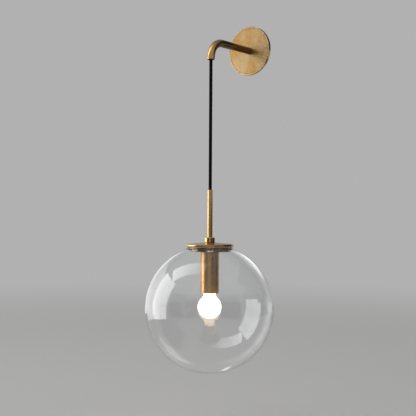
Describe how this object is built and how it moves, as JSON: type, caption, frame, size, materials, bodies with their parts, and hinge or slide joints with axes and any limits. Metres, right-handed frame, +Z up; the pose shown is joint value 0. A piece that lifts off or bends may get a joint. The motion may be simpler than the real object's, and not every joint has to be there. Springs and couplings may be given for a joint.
{
  "type": "wall light",
  "caption": "Wall light: a round brass wall plate and a bent brass arm hold a clear glass globe on a black cord, with a brass stem, cap and lamp cup and a small round bulb.",
  "frame": {"origin": "centre of the wall plate's back, on the wall, midway between the two wall-screw slots", "axes": "+Y into the wall, +Z up, +X to the right for someone who faces the wall"},
  "size_m": [0.25, 0.2805, 0.6952],
  "materials": {
    "aged_brass": "satin, patinated",
    "zinc_steel": "zinc plated",
    "spring_steel": "satin",
    "black_braid": "braided sleeve",
    "black_nylon": "matte",
    "clear_silicone": "soft",
    "clear_glass": "clear",
    "opal_glass": "opal",
    "bulb_metal": "nickel plated",
    "black_glass": "gloss",
    "filament": "phosphor",
    "white_holder": "moulded",
    "contact_brass": "plain",
    "brown_core": "extruded",
    "blue_core": "extruded",
    "green_yellow_core": "extruded"
  },
  "bodies": {
    "wall_mount": {"wall_bracket": "zinc_steel", "backplate": "aged_brass", "plate_grub_screws": "zinc_steel", "arm_tube": "aged_brass", "arm_washer": "zinc_steel", "arm_lock_nut": "contact_brass", "outlet_bushing": "black_nylon", "arm_cord": "black_braid", "cord_stop_collar": "contact_brass", "cord_stop_screw": "zinc_steel", "live_core": "brown_core", "neutral_core": "blue_core", "earth_core": "green_yellow_core", "earth_lug": "zinc_steel", "earth_screw": "contact_brass", "terminal_block": "white_holder", "terminal_screws": "zinc_steel", "terminal_fixing_screw": "zinc_steel"},
    "neck": {"cord_neck": "black_braid"},
    "cord": {"hanging_cord": "black_braid"},
    "pendant": {"stem_tube": "aged_brass", "stem_insert": "black_nylon", "stem_cord": "black_braid", "stem_collar": "aged_brass", "collar_grub_screw": "zinc_steel", "cap_disc": "aged_brass", "glass_gasket": "clear_silicone", "gallery_pan": "aged_brass", "gallery_spacer": "contact_brass", "spring_clips": "spring_steel", "clip_rivets": "zinc_steel", "lamp_cup": "aged_brass", "cup_lock_nut": "contact_brass", "holder_cap": "white_holder", "holder_body": "white_holder", "holder_screw_shell": "contact_brass", "holder_contact": "contact_brass", "holder_leads": "brown_core"},
    "globe": {"glass_globe": "clear_glass"},
    "bulb": {"bulb_glass": "opal_glass", "bulb_screw_cap": "bulb_metal", "bulb_insulator": "black_glass", "bulb_tip_contact": "bulb_metal", "bulb_mount": "clear_glass", "bulb_filaments": "filament"}
  },
  "joints": [
    {"name": "swing_sideways", "type": "hinge", "parent": "wall_mount", "child": "neck", "pos_m": [0, -0.133, -0.037], "axis": [0, 1, 0], "range_deg": [-25, 25]},
    {"name": "swing_out", "type": "hinge", "parent": "neck", "child": "cord", "pos_m": [0, -0.133, -0.037], "axis": [-1, 0, 0], "range_deg": [-0.9, 25]},
    {"name": "pendant_twist", "type": "hinge", "parent": "cord", "child": "pendant", "pos_m": [0, -0.133, -0.2904], "axis": [0, 0, 1], "range_deg": [-90, 90]},
    {"name": "globe_pull", "type": "slide", "parent": "pendant", "child": "globe", "axis": [0, 0, -1], "range_m": [0, 0.16], "deforming": ["spring_clips"]},
    {"name": "bulb_pull", "type": "slide", "parent": "pendant", "child": "bulb", "axis": [0, 0, -1], "range_m": [0, 0.03]}
  ]
}
